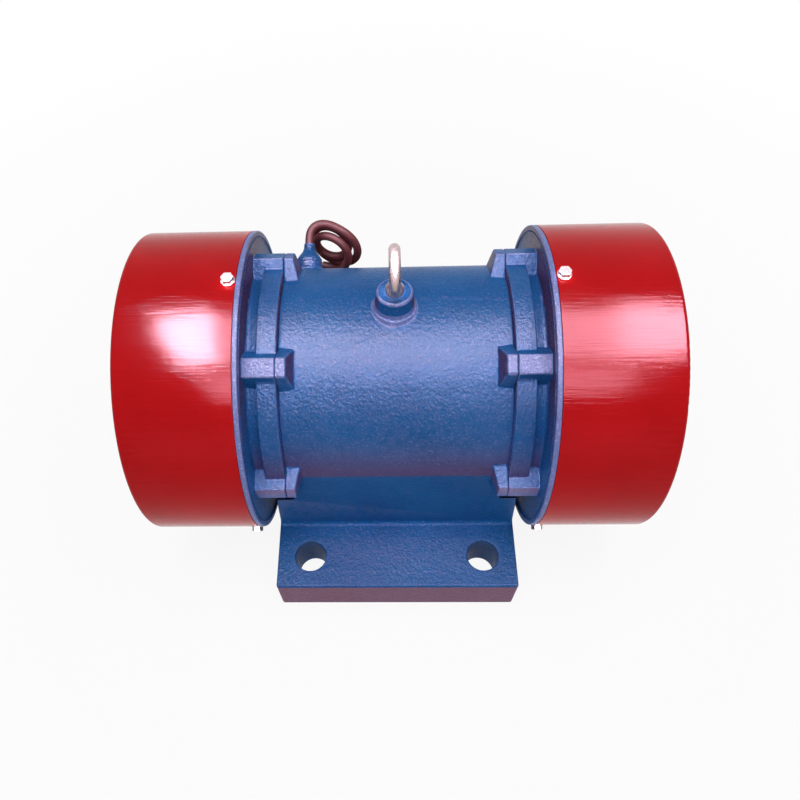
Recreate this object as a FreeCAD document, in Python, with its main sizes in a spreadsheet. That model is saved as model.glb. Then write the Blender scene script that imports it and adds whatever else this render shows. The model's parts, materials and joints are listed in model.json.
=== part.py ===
import FreeCAD, Part

import math
import os
from types import SimpleNamespace

import Sketcher

# Foot-mounted unbalanced vibration motor.
#
# Frame: millimetres, +Z up. The origin is the centre of the foot's underside. The shaft runs
# along X, axis_height above it, and -Y is the front. The motor is the same at both ends, so a
# piece of an end is drawn once for the right end (+X) and turned half a turn about Z for the
# left end. Pieces on the shaft are drawn about their own origin, which sits on the shaft's axis.

SIZES = {
    # stance
    "axis_height": 130.0,
    "foot_width": 200.0,
    "foot_length": 295.0,
    "foot_thickness": 42.0,
    "foot_rounding": 2.5,
    "foot_root": 4.0,
    "foot_hole_spacing_x": 145.0,
    "foot_hole_spacing_y": 240.0,
    "foot_hole_radius": 13.0,
    # housing
    "barrel_radius": 90.0,
    "bore_radius": 80.0,
    "parting": 83.0,
    "register_radius": 84.0,
    "register_depth": 6.0,
    "pedestal_half_width": 95.0,
    "pedestal_depth": 179.0,
    "saddle_radius": 98.6,
    "lug_pocket_radius": 13.0,
    # lugs that carry the end shield bolts
    "lug_radius": 104.5,
    "lug_width": 13.5,
    "lug_flare": 0.5,
    "rib_flare": 0.4,
    "lug_length": 7.6,
    "lug_slope": 4.5,
    "lug_count": 6,
    "shield_bolt_circle": 97.5,
    "shield_bolt_radius": 4.0,
    "shield_bolt_length": 40.0,
    "shield_bolt_across": 13.0,
    "shield_bolt_head": 5.3,
    # lifting boss and eyebolt
    "boss_skirt_radius": 19.0,
    "boss_skirt_top": 92.0,
    "boss_foot_radius": 15.4,
    "boss_top_radius": 13.0,
    "boss_rounding": 2.6,
    "boss_top": 107.0,
    "eye_ring_radius": 14.0,
    "eye_wire_radius": 4.0,
    "eye_centre": 127.5,
    "eye_collar_radius": 6.8,
    "eye_shank_radius": 4.0,
    "eye_shank_length": 16.0,
    # end shield
    "shield_radius": 97.0,
    "shield_bore": 80.0,
    "neck_start": 97.5,
    "neck_radius": 90.5,
    "disc_radius": 120.0,
    "disc_rim": 105.5,
    "disc_face": 106.2,
    "disc_step_radius": 115.5,
    "disc_root": 3.0,
    "cover_start": 109.5,
    "plate_inner": 102.0,
    "plate_outer": 116.0,
    "spigot_end": 124.0,
    "spigot_inner_radius": 110.0,
    "hub_radius": 60.0,
    "hub_start": 88.0,
    "hub_end": 121.0,
    # covers
    "cover_end": 191.6,
    "cover_wall": 2.0,
    "cover_corner": 3.0,
    "cover_screw_place": 114.5,
    "cover_screw_radius": 2.5,
    "cover_screw_across": 8.0,
    "cover_screw_head": 3.5,
    "cover_screw_length": 12.0,
    "cover_washer_radius": 5.0,
    "cover_washer_thickness": 1.0,
    "seal_place": 120.3,
    "seal_section_radius": 1.45,
    # bearings
    "bearing_start": 95.0,
    "bearing_end": 118.0,
    "bearing_outer_radius": 45.0,
    "bearing_race_radius": 39.0,
    "bearing_lip_radius": 37.0,
    "bearing_lip": 3.0,
    "bearing_inner_race": 26.0,
    "roller_circle": 32.5,
    "roller_radius": 6.4,
    "roller_count": 12,
    "cage_thickness": 4.0,
    "cap_radius": 58.0,
    "cap_bolt_circle": 52.5,
    "cap_bolt_radius": 3.0,
    "cap_bolt_across": 10.0,
    "cap_bolt_head": 4.0,
    "cap_flange_end": 126.0,
    "inner_cap_start": 80.0,
    # shaft and rotor
    "shaft_end": 180.0,
    "shaft_core_radius": 26.0,
    "shaft_core_half": 56.0,
    "shaft_shoulder_radius": 24.0,
    "shaft_bearing_radius": 20.0,
    "shaft_weight_radius": 19.0,
    "shaft_chamfer": 2.0,
    "core_half_length": 50.0,
    "rotor_radius": 47.5,
    "rotor_bar_circle": 40.0,
    "rotor_bar_radius": 3.0,
    "rotor_bar_count": 20,
    "rotor_ring_inner": 34.0,
    "rotor_ring_outer": 46.0,
    "rotor_ring_width": 10.0,
    "rotor_blade_length": 8.0,
    # stator
    "air_gap": 0.6,
    "slot_start": 50.0,
    "slot_end": 66.0,
    "slot_width": 6.0,
    "slot_count": 24,
    "winding_inner": 50.5,
    "winding_outer": 74.0,
    "winding_start": 52.0,
    "winding_end": 72.0,
    "winding_corner": 5.0,
    # eccentric weights
    "weight_start": 133.0,
    "weight_thickness": 18.0,
    "weight_gap": 1.0,
    "weight_radius": 104.0,
    "weight_hub_radius": 36.0,
    "weight_ear_half": 24.0,
    "weight_ear_top": 48.0,
    "clamp_bolt_height": 36.5,
    "clamp_bolt_radius": 5.0,
    "clamp_bolt_across": 16.0,
    "clamp_bolt_head": 6.4,
    "clamp_slit": 4.0,
    "key_width": 10.0,
    "key_bottom": 22.0,
    "key_top": 14.0,
    "ring_groove_place": 171.0,
    "ring_thickness": 1.75,
    "ring_groove_radius": 17.5,
    "ring_outer_radius": 24.0,
    # cable and its gland, measured outwards from the shaft's axis
    "gland_place": -69.5,
    "gland_pad_radius": 12.5,
    "gland_pad_top": 92.5,
    "gland_thread_radius": 8.0,
    "gland_thread_start": 80.5,
    "gland_flange_radius": 10.5,
    "gland_flange_top": 97.5,
    "gland_tip": 113.0,
    "gland_tip_radius": 4.2,
    "gland_bore": 3.6,
    "seal_pocket": 6.6,
    "seal_pocket_start": 88.0,
    "cable_radius": 3.5,
    "cable_free_run": 8.0,
    "cable_lead_radius": 1.2,
    "coil_radius": 18.0,
    "coil_section_radius": 7.0,
    "core_wire_radius": 1.1,
    "core_wire_length": 8.0,
    # play
    "fit_gap": 0.02,
    "running_gap": 0.05,
    "bolt_gap": 0.5,
}

GLAND_ELEVATION = 150.0     # degrees round the shaft, from the front horizontal
CAGE_ANGLE = 45.0           # degrees, where the first bearing cap bolt sits
COIL_CENTRE = (-53.0, 115.5, 167.0)
CABLE_ROUTE = [
    (-65.8, 112.3, 192.0),
    (-58.5, 116.5, 190.0),
    (-50.5, 117.0, 185.5),
]
TAIL_ROUTE = [
    (-38.0, 117.0, 157.0),
    (-40.0, 118.5, 149.0),
    (-46.0, 119.5, 142.0),
    (-54.5, 119.5, 139.0),
    (-63.0, 119.0, 139.5),
]

os.makedirs("parts", exist_ok=True)
doc = FreeCAD.newDocument("vibration_motor")


class Size:
    """A length that knows its value and the sheet formula that it comes from."""

    def __init__(self, value, formula):
        self.value = value
        self.formula = formula

    def joined(self, other, sign, value):
        return Size(value, f"({self.formula} {sign} {as_size(other).formula})")

    def __add__(self, other):
        return self.joined(other, "+", self.value + as_size(other).value)

    def __sub__(self, other):
        return self.joined(other, "-", self.value - as_size(other).value)

    def __mul__(self, other):
        return self.joined(other, "*", self.value * as_size(other).value)

    def __truediv__(self, other):
        return self.joined(other, "/", self.value / as_size(other).value)

    def __radd__(self, other):
        return as_size(other) + self

    def __rsub__(self, other):
        return as_size(other) - self

    def __neg__(self):
        return Size(-self.value, f"(0 - {self.formula})")


def as_size(length):
    """A plain number becomes a size of its own."""
    if isinstance(length, Size):
        return length
    return Size(float(length), f"{float(length):.6f}")


def fill_sheet():
    """Write every driving size to the sheet and return them by name."""
    sheet = doc.addObject("Spreadsheet::Sheet", "dims")
    named = {}
    for row, (alias, value) in enumerate(SIZES.items(), start=1):
        sheet.set(f"A{row}", alias)
        sheet.set(f"B{row}", str(value))
        sheet.setAlias(f"B{row}", alias)
        named[alias] = Size(value, "dims." + alias)
    doc.recompute()
    return SimpleNamespace(**named)


size = fill_sheet()

# Sizes that follow from others
lug_half = size.lug_width / 2
cover_bore = size.disc_radius - size.cover_wall
spigot_radius = cover_bore - size.running_gap * 2
adjustable_start = size.weight_start + size.weight_thickness + size.weight_gap
stator_bore = size.rotor_radius + size.air_gap
roller_half_length = (size.bearing_end - size.bearing_start) / 2 - size.bearing_lip - 0.3
bearing_middle = (size.bearing_start + size.bearing_end) / 2

ALONG_X = FreeCAD.Rotation(FreeCAD.Vector(0, 1, 0), 90)
ALONG_Y = FreeCAD.Rotation(FreeCAD.Vector(1, 0, 0), -90)
FLAT_TO_X = ALONG_Y * FreeCAD.Rotation(FreeCAD.Vector(0, 0, 1), 30)
UPRIGHT = FreeCAD.Rotation()
FACING_FRONT = FreeCAD.Rotation(FreeCAD.Vector(1, 0, 0), 180)
GLAND_TURN = FreeCAD.Rotation(FreeCAD.Vector(1, 0, 0), 90 - GLAND_ELEVATION)
SIDES = {"right": 0.0, "left": 180.0}
nodes = []


def bind(item, prop, length):
    """Tie a property of item to the sheet."""
    item.setExpression(prop, as_size(length).formula)


def new_body(label):
    """An empty body whose label names its node."""
    body = doc.addObject("PartDesign::Body", label)
    body.Label = label
    nodes.append(body)
    return body


def origin_feature(body, role):
    """One of the body's own origin planes or axes."""
    return [item for item in body.Origin.OriginFeatures if item.Role == role][0]


def seat(item, side="right", along=0.0, turn=None):
    """Put a piece on the shaft's axis, at one end or the other."""
    rotation = turn or FreeCAD.Rotation(FreeCAD.Vector(0, 0, 1), SIDES[side])
    item.Placement = FreeCAD.Placement(FreeCAD.Vector(), rotation)
    bind(item, "Placement.Base.x", along)
    bind(item, "Placement.Base.z", size.axis_height)


def outline(body, plane, name, points):
    """A sketch of straight lines through points, each held by its two sizes."""
    sketch = body.newObject("Sketcher::SketchObject", name)
    sketch.AttachmentSupport = [(origin_feature(body, plane), "")]
    sketch.MapMode = "FlatFace"
    sized = [(as_size(across), as_size(up)) for across, up in points]
    corners = [FreeCAD.Vector(across.value, up.value, 0) for across, up in sized]
    last = len(corners) - 1
    for index, corner in enumerate(corners):
        following = corners[0 if index == last else index + 1]
        sketch.addGeometry(Part.LineSegment(corner, following))
    for index in range(len(corners)):
        following = 0 if index == last else index + 1
        sketch.addConstraint(Sketcher.Constraint("Coincident", index, 2, following, 1))
    for index, pair in enumerate(sized):
        for kind, length in zip(("DistanceX", "DistanceY"), pair):
            rule = Sketcher.Constraint(kind, -1, 1, index, 1, length.value)
            held = sketch.addConstraint(rule)
            sketch.setExpression(f"Constraints[{held}]", length.formula)
    return sketch


def turn_section(body, points, name="turned", axis="H_Axis", kind="Revolution"):
    """Turn a half section about the body's X axis, or about Z for V_Axis."""
    sketch = outline(body, "XZ_Plane", name + "_section", points)
    turned = body.newObject("PartDesign::" + kind, name)
    turned.Profile = sketch
    turned.ReferenceAxis = (sketch, [axis])
    turned.Angle = 360
    doc.recompute()
    return turned


def box_points(low, high, inner, outer):
    """The half section of a plain ring from low to high along the shaft."""
    return [(low, inner), (high, inner), (high, outer), (low, outer)]


def primitive(body, kind, name, sizes, at, turn=UPRIGHT):
    """Add or cut a primitive whose sizes and place come from the sheet."""
    item = body.newObject("PartDesign::" + kind, name)
    item.Placement = FreeCAD.Placement(FreeCAD.Vector(), turn)
    for prop, length in sizes.items():
        bind(item, prop, length)
    for axis, length in zip("xyz", at):
        bind(item, "Placement.Base." + axis, length)
    doc.recompute()
    return item


def rod(body, kind, name, radius, start, end, at=(0, 0)):
    """A round bar or hole along X, from start to end, at (y, z)."""
    sizes = {"Radius": radius, "Height": as_size(end) - start}
    return primitive(body, kind, name, sizes, (start, at[0], at[1]), ALONG_X)


def hexagon(body, name, across, height, at, turn):
    """A hexagon head of a given width across its flats."""
    item = body.newObject("PartDesign::AdditivePrism", name)
    item.Polygon = 6
    item.Placement = FreeCAD.Placement(FreeCAD.Vector(), turn)
    bind(item, "Circumradius", as_size(across) / (2 * math.cos(math.pi / 6)))
    bind(item, "Height", height)
    for axis, length in zip("xyz", at):
        bind(item, "Placement.Base." + axis, length)
    doc.recompute()
    return item


def repeat_round(body, feature, count):
    """Repeat the body's last feature at equal steps about its X axis."""
    pattern = body.newObject("PartDesign::PolarPattern", feature.Name + "_pattern")
    pattern.Originals = [feature]
    pattern.Axis = (origin_feature(body, "X_Axis"), [""])
    pattern.Angle = 360
    if isinstance(count, Size):
        bind(pattern, "Occurrences", count)
    else:
        pattern.Occurrences = count
    body.Tip = pattern
    doc.recompute()
    return pattern


def round_edges(body, radius, name, wanted):
    """Round the edges of the body's last feature that wanted() picks."""
    base = body.Tip
    names = [f"Edge{i}" for i, edge in enumerate(base.Shape.Edges, start=1) if wanted(edge)]
    rounding = body.newObject("PartDesign::Fillet", name)
    rounding.Base = (base, names)
    bind(rounding, "Radius", radius)
    doc.recompute()
    return rounding


def same(a, b):
    return abs(a - b) < 0.01


def is_circle(edge, radius, place):
    """Whether an edge is a full circle about X of that radius, at that place along X."""
    curve = edge.Curve
    if not isinstance(curve, Part.Circle):
        return False
    return same(curve.Radius, radius.value) and same(curve.Center.x, place.value)


def make_housing():
    """The cast housing: barrel, pedestal, foot, bolt lugs, lifting boss and gland pad."""
    body = new_body("housing")
    below = -size.axis_height
    foot_top = size.foot_thickness - size.axis_height
    half_width = size.foot_width / 2
    half_length = size.foot_length / 2
    half_depth = size.pedestal_depth / 2
    sizes = {"Length": size.foot_width, "Width": size.foot_length, "Height": size.foot_thickness}
    primitive(body, "AdditiveBox", "foot", sizes, (-half_width, -half_length, below))

    def along_front(edge, place):
        box = edge.BoundBox
        level = same(box.ZMin, foot_top.value) and same(box.ZMax, foot_top.value)
        return level and same(box.YMin, box.YMax) and same(abs(box.YMin), place.value)

    def foot_edge(edge):
        box = edge.BoundBox
        upright = same(box.XMin, box.XMax) and same(box.YMin, box.YMax)
        return upright or along_front(edge, half_length)

    round_edges(body, size.foot_rounding, "foot_rounding", foot_edge)
    profile = [
        (-half_width, foot_top),
        (half_width, foot_top),
        (size.pedestal_half_width, 0),
        (-size.pedestal_half_width, 0),
    ]
    pad = body.newObject("PartDesign::Pad", "pedestal")
    pad.Profile = outline(body, "XZ_Plane", "pedestal_outline", profile)
    pad.Midplane = True
    bind(pad, "Length", size.pedestal_depth)
    doc.recompute()
    round_edges(body, size.foot_root, "foot_root_rounding",
                lambda edge: along_front(edge, half_depth))
    barrel = [
        (-size.parting, 0),
        (size.parting, 0),
        (size.parting, size.barrel_radius),
        (-size.parting, size.barrel_radius),
    ]
    turn_section(body, barrel, "barrel")
    reach = half_width + 5
    lug_turn = math.radians(60)
    lug_side = size.shield_bolt_circle * math.cos(lug_turn)
    lug_drop = -size.shield_bolt_circle * math.sin(lug_turn)
    pocket = size.lug_pocket_radius
    for name, low, high in (("right", size.parting, reach), ("left", -reach, -size.parting)):
        cut = "SubtractiveCylinder"
        rod(body, cut, name + "_saddle", size.saddle_radius, low, high)
        rod(body, cut, name + "_front_pocket", pocket, low, high, (-lug_side, lug_drop))
        rod(body, cut, name + "_rear_pocket", pocket, low, high, (lug_side, lug_drop))
    root = size.register_radius
    for name, foot, top_radius, top in (
        ("boss_skirt", size.boss_skirt_radius, size.boss_foot_radius, size.boss_skirt_top),
        ("lifting_boss", size.boss_foot_radius, size.boss_top_radius, size.boss_top),
    ):
        cone = {"Radius1": foot, "Radius2": top_radius, "Height": top - root}
        primitive(body, "AdditiveCone", name, cone, (0, 0, root))
    round_edges(body, size.boss_rounding, "boss_rounding",
                lambda edge: same(edge.BoundBox.ZMin, size.boss_top.value)
                and same(edge.BoundBox.ZMax, size.boss_top.value))
    out_y = math.sin(math.radians(GLAND_ELEVATION - 90))
    out_z = math.cos(math.radians(GLAND_ELEVATION - 90))

    def gland_point(distance):
        return (size.gland_place, distance * out_y, distance * out_z)

    pad_size = {
        "Radius": size.gland_pad_radius,
        "Height": size.gland_pad_top - size.register_radius,
    }
    pad_foot = gland_point(size.register_radius)
    primitive(body, "AdditiveCylinder", "gland_pad", pad_size, pad_foot, GLAND_TURN)
    add_housing_lugs(body)
    rod(body, "SubtractiveCylinder", "bore", size.bore_radius, -size.parting, size.parting)
    for name, low in (("right", size.parting - size.register_depth), ("left", -size.parting)):
        high = low + size.register_depth
        rod(body, "SubtractiveCylinder", name + "_register", size.register_radius, low, high)
    gland_hole = {
        "Radius": size.gland_thread_radius + size.fit_gap,
        "Height": size.gland_pad_top - size.barrel_radius + 20,
    }
    start = gland_point(size.barrel_radius - 18)
    primitive(body, "SubtractiveCylinder", "gland_hole", gland_hole, start, GLAND_TURN)
    eye_hole = {
        "Radius": size.eye_shank_radius + size.fit_gap,
        "Height": size.eye_shank_length + 2,
    }
    bottom = size.boss_top - size.eye_shank_length - 1
    primitive(body, "SubtractiveCylinder", "eyebolt_hole", eye_hole, (0, 0, bottom))
    hole = {"Radius": size.foot_hole_radius, "Height": size.foot_thickness + 2}
    for corner, (along, across) in enumerate(((1, 1), (1, -1), (-1, 1), (-1, -1)), start=1):
        x = size.foot_hole_spacing_x * (along / 2)
        y = size.foot_hole_spacing_y * (across / 2)
        primitive(body, "SubtractiveCylinder", f"foot_hole_{corner}", hole, (x, y, below - 1))
    seat(body)


def lug_sizes(low, high, low_top, high_top, root, flare):
    """A block that narrows towards its outer face, from a root radius to the lug radius."""
    flared = lug_half + (size.lug_radius - root) * flare
    return {
        "Xmin": low,
        "Xmax": high,
        "X2min": low_top,
        "X2max": high_top,
        "Ymin": root,
        "Ymax": size.lug_radius,
        "Zmin": -flared,
        "Zmax": flared,
        "Z2min": -lug_half,
        "Z2max": lug_half,
    }


def add_housing_lugs(body):
    """Six tapped lugs round each end of the barrel, their inner ends sloped."""
    root = size.barrel_radius - 3
    top = size.parting - size.lug_length
    foot = top - size.lug_slope
    flare = size.lug_flare
    right = lug_sizes(foot, size.parting, top, size.parting, root, flare)
    left = lug_sizes(-size.parting, -foot, -size.parting, -top, root, flare)
    centre = (0, 0, 0)
    for name, block in (("right_lug", right), ("left_lug", left)):
        lug = primitive(body, "AdditiveWedge", name, block, centre, FACING_FRONT)
        repeat_round(body, lug, size.lug_count)
    circle = (-size.shield_bolt_circle, 0)
    deep = size.lug_length
    radius = size.shield_bolt_radius + size.fit_gap
    near = size.parting - deep
    for name, low, high in (("right", near, size.parting), ("left", -size.parting, -near)):
        hole = rod(body, "SubtractiveCylinder", name + "_tapped_hole", radius, low, high, circle)
        repeat_round(body, hole, size.lug_count)


def make_end_shield(side):
    """Cast end shield: spigot, ribbed barrel, flange disc and bearing hub."""
    body = new_body("end_shield_" + side)
    groove_half = size.seal_section_radius + 0.1
    bearing_bore = size.bearing_outer_radius + size.fit_gap
    spigot = size.register_radius - size.running_gap
    section = [
        (size.parting - size.register_depth + 0.5, spigot - 6),
        (size.parting - size.register_depth + 0.5, spigot),
        (size.parting, spigot),
        (size.parting, size.shield_radius),
        (size.neck_start, size.shield_radius),
        (size.neck_start, size.neck_radius),
        (size.disc_face, size.neck_radius),
        (size.disc_face, size.disc_step_radius),
        (size.disc_rim, size.disc_step_radius),
        (size.disc_rim, size.disc_radius),
        (size.cover_start - 0.1, size.disc_radius),
        (size.cover_start - 0.1, spigot_radius),
        (size.seal_place - groove_half, spigot_radius),
        (size.seal_place - groove_half, spigot_radius - groove_half * 2),
        (size.seal_place + groove_half, spigot_radius - groove_half * 2),
        (size.seal_place + groove_half, spigot_radius),
        (size.spigot_end, spigot_radius),
        (size.spigot_end, size.spigot_inner_radius),
        (size.plate_outer, size.spigot_inner_radius),
        (size.plate_outer, size.hub_radius),
        (size.hub_end, size.hub_radius),
        (size.hub_end, bearing_bore),
        (size.hub_start, bearing_bore),
        (size.hub_start, size.hub_radius),
        (size.plate_inner, size.hub_radius + 4),
        (size.plate_inner, size.shield_bore),
        (size.parting + 2, size.shield_bore),
    ]
    turn_section(body, section)
    round_edges(body, size.disc_root, "disc_root_rounding",
                lambda edge: is_circle(edge, size.neck_radius, size.disc_face))
    root = size.neck_radius - 3
    end = size.disc_face + 2
    rib = lug_sizes(size.parting, end, size.parting, end, root, size.rib_flare)
    first = primitive(body, "AdditiveWedge", "rib", rib, (0, 0, 0), FACING_FRONT)
    repeat_round(body, first, size.lug_count)
    circle = (-size.shield_bolt_circle, 0)
    spot = size.plate_outer - 2
    bolt_hole = size.shield_bolt_radius + size.bolt_gap
    washer_seat = bolt_hole * 2
    kind = "SubtractiveCylinder"
    through = size.parting - 1
    for name, radius, low in (("bolt_hole", bolt_hole, through), ("washer_seat", washer_seat, spot)):
        cut = rod(body, kind, name, radius, low, size.plate_outer + 1, circle)
        repeat_round(body, cut, size.lug_count)
    screw = {
        "Radius": size.cover_screw_radius + size.fit_gap,
        "Height": size.cover_screw_length + 2,
    }
    bottom = size.disc_radius - size.cover_screw_length - 1
    tapped = primitive(body, kind, "screw_hole", screw, (size.cover_screw_place, 0, bottom))
    repeat_round(body, tapped, 3)
    cap_hole = size.cap_bolt_radius + size.bolt_gap
    place = cap_bolt_place()
    cap = rod(body, kind, "cap_bolt_hole", cap_hole, size.hub_start - 1, size.hub_end + 1, place)
    repeat_round(body, cap, 4)
    seat(body, side)


def cap_bolt_place():
    """Where the first bearing cap bolt stands, off the shaft's axis."""
    turn = math.radians(CAGE_ANGLE)
    return (size.cap_bolt_circle * math.cos(turn), size.cap_bolt_circle * math.sin(turn))


def make_cover(side):
    """Sheet steel drum over the eccentric weights, open towards the housing."""
    body = new_body("cover_" + side)
    section = [
        (size.cover_start, cover_bore),
        (size.cover_start, size.disc_radius),
        (size.cover_end, size.disc_radius),
        (size.cover_end, 0),
        (size.cover_end - size.cover_wall, 0),
        (size.cover_end - size.cover_wall, cover_bore),
    ]
    turn_section(body, section)
    round_edges(body, size.cover_corner, "outer_corner",
                lambda edge: is_circle(edge, size.disc_radius, size.cover_end))
    inner_end = size.cover_end - size.cover_wall
    round_edges(body, size.cover_corner / 2, "inner_corner",
                lambda edge: is_circle(edge, cover_bore, inner_end))
    hole = {"Radius": size.cover_screw_radius + size.bolt_gap / 2, "Height": 10}
    place = (size.cover_screw_place, 0, size.disc_radius - 5)
    screw_hole = primitive(body, "SubtractiveCylinder", "screw_hole", hole, place)
    repeat_round(body, screw_hole, 3)
    seat(body, side)


def make_cover_seal(side):
    """Rubber ring in the groove of the end shield's spigot."""
    body = new_body("cover_seal_" + side)
    ring = {
        "Radius1": spigot_radius - size.seal_section_radius,
        "Radius2": size.seal_section_radius,
    }
    primitive(body, "AdditiveTorus", "ring", ring, (size.seal_place, 0, 0), ALONG_X)
    seat(body, side)


def make_cover_screws(side):
    """Three hexagon screws that hold the cover on the spigot."""
    body = new_body("cover_screws_" + side)
    under_head = size.disc_radius + size.cover_washer_thickness
    place = (size.cover_screw_place, 0, under_head)
    across = size.cover_screw_across
    head = hexagon(body, "head", across, size.cover_screw_head, place, UPRIGHT)
    repeat_round(body, head, 3)
    shank = {"Radius": size.cover_screw_radius, "Height": size.cover_screw_length + 0.2}
    start = (size.cover_screw_place, 0, under_head - size.cover_screw_length)
    stem = primitive(body, "AdditiveCylinder", "shank", shank, start)
    repeat_round(body, stem, 3)
    seat(body, side)


def make_cover_washers(side):
    """Plain washers under the cover screws."""
    body = new_body("cover_washers_" + side)
    place = (size.cover_screw_place, 0, size.disc_radius)
    disc = {"Radius": size.cover_washer_radius, "Height": size.cover_washer_thickness}
    plate = primitive(body, "AdditiveCylinder", "plate", disc, place)
    repeat_round(body, plate, 3)
    hole = {
        "Radius": size.cover_screw_radius + size.running_gap,
        "Height": size.cover_washer_thickness + 2,
    }
    low = (size.cover_screw_place, 0, size.disc_radius - 1)
    eye = primitive(body, "SubtractiveCylinder", "eye", hole, low)
    repeat_round(body, eye, 3)
    seat(body, side)


def make_shield_bolts(side):
    """Six hexagon bolts through the disc and ribs into the housing's lugs."""
    body = new_body("end_shield_bolts_" + side)
    under_head = size.plate_outer
    place = (under_head, -size.shield_bolt_circle, 0)
    across = size.shield_bolt_across
    head = hexagon(body, "head", across, size.shield_bolt_head, place, ALONG_X)
    repeat_round(body, head, size.lug_count)
    start = under_head - size.shield_bolt_length
    stem = rod(body, "AdditiveCylinder", "shank", size.shield_bolt_radius, start,
               under_head + 0.2, (-size.shield_bolt_circle, 0))
    repeat_round(body, stem, size.lug_count)
    seat(body, side)


def make_shield_washers(side):
    """Split spring washers under the end shield bolts."""
    body = new_body("spring_washers_" + side)
    circle = (-size.shield_bolt_circle, 0)
    low = size.plate_outer - 2
    outer = size.shield_bolt_radius * 1.75
    inner = size.shield_bolt_radius + size.running_gap
    plate = rod(body, "AdditiveCylinder", "plate", outer, low, size.plate_outer, circle)
    repeat_round(body, plate, size.lug_count)
    eye = rod(body, "SubtractiveCylinder", "eye", inner, low - 1, size.plate_outer + 1, circle)
    repeat_round(body, eye, size.lug_count)
    split = {"Length": 4, "Width": outer, "Height": 0.8}
    corner = (low - 1, -size.shield_bolt_circle, -0.4)
    gap = primitive(body, "SubtractiveBox", "split", split, corner)
    repeat_round(body, gap, size.lug_count)
    seat(body, side)


def make_eyebolt():
    """Lifting eyebolt: shank, collar that narrows to the ring, and the ring across the shaft."""
    body = new_body("lifting_eyebolt")
    base = size.boss_top
    collar = size.eye_collar_radius
    wire = size.eye_wire_radius
    ring_foot = size.eye_centre - size.eye_ring_radius
    section = [
        (0, base - size.eye_shank_length),
        (size.eye_shank_radius, base - size.eye_shank_length),
        (size.eye_shank_radius, base),
        (collar, base),
        (collar, base + 3),
        (wire, ring_foot + 1),
        (0, ring_foot + 1),
    ]
    turn_section(body, section, "collar_and_shank", "V_Axis")
    ring = {"Radius1": size.eye_ring_radius, "Radius2": wire}
    primitive(body, "AdditiveTorus", "ring", ring, (0, 0, size.eye_centre), ALONG_X)
    seat(body)


def turned_on_gland(label, points):
    """A piece turned about the gland's axis from (radius, distance out) points."""
    body = new_body(label)
    turn_section(body, points, "turned", "V_Axis")
    seat(body, along=size.gland_place, turn=GLAND_TURN)
    return body


def make_gland():
    """Cable gland: threaded body, conical cap and rubber seal."""
    pocket = size.seal_pocket
    flange = size.gland_flange_radius
    top = size.gland_flange_top
    turned_on_gland("gland_body", [
        (size.gland_bore + 0.4, size.gland_thread_start),
        (size.gland_thread_radius, size.gland_thread_start),
        (size.gland_thread_radius, size.gland_pad_top),
        (flange, size.gland_pad_top),
        (flange, top),
        (pocket, top),
        (pocket, size.seal_pocket_start),
        (size.gland_bore + 0.4, size.seal_pocket_start),
    ])
    turned_on_gland("gland_cone", [
        (size.gland_bore, top),
        (flange, top),
        (flange - 0.3, top + 2.5),
        (flange - 2.2, top + 5.5),
        (size.gland_tip_radius + 1.6, top + 8.5),
        (size.gland_tip_radius + 0.4, top + 11.5),
        (size.gland_tip_radius, size.gland_tip),
        (size.gland_bore, size.gland_tip),
    ])
    turned_on_gland("cable_in_gland", box_points(
        0,
        size.cable_radius,
        size.gland_thread_start,
        size.gland_tip,
    ))
    turned_on_gland("gland_seal", box_points(
        size.cable_radius + size.fit_gap,
        pocket - size.fit_gap,
        size.seal_pocket_start + 0.2,
        top - 0.2,
    ))


def make_bearing(side):
    """Cylindrical roller bearing: lipped outer ring, inner ring, rollers and cage."""
    low = size.bearing_start
    high = size.bearing_end
    lip = size.bearing_lip
    outer = new_body("bearing_outer_ring_" + side)
    turn_section(outer, [
        (low, size.bearing_lip_radius),
        (low + lip, size.bearing_lip_radius),
        (low + lip, size.bearing_race_radius),
        (high - lip, size.bearing_race_radius),
        (high - lip, size.bearing_lip_radius),
        (high, size.bearing_lip_radius),
        (high, size.bearing_outer_radius),
        (low, size.bearing_outer_radius),
    ])
    inner = new_body("bearing_inner_ring_" + side)
    bore = size.shaft_bearing_radius + size.fit_gap
    turn_section(inner, box_points(low, high, bore, size.bearing_inner_race))
    start = bearing_middle - roller_half_length
    end = bearing_middle + roller_half_length
    place = (0, size.roller_circle)
    rollers = new_body("bearing_rollers_" + side)
    roller = rod(rollers, "AdditiveCylinder", "roller", size.roller_radius, start, end, place)
    repeat_round(rollers, roller, size.roller_count)
    cage = new_body("bearing_cage_" + side)
    cage_inner = size.roller_circle - size.cage_thickness / 2
    cage_outer = size.roller_circle + size.cage_thickness / 2
    turn_section(cage, box_points(low + 0.5, high - 0.5, cage_inner, cage_outer))
    room = size.roller_radius + 0.1
    pocket = rod(cage, "SubtractiveCylinder", "pocket", room, start - 0.1, end + 0.1, place)
    repeat_round(cage, pocket, size.roller_count)
    for body in (outer, inner, rollers, cage):
        seat(body, side)


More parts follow.
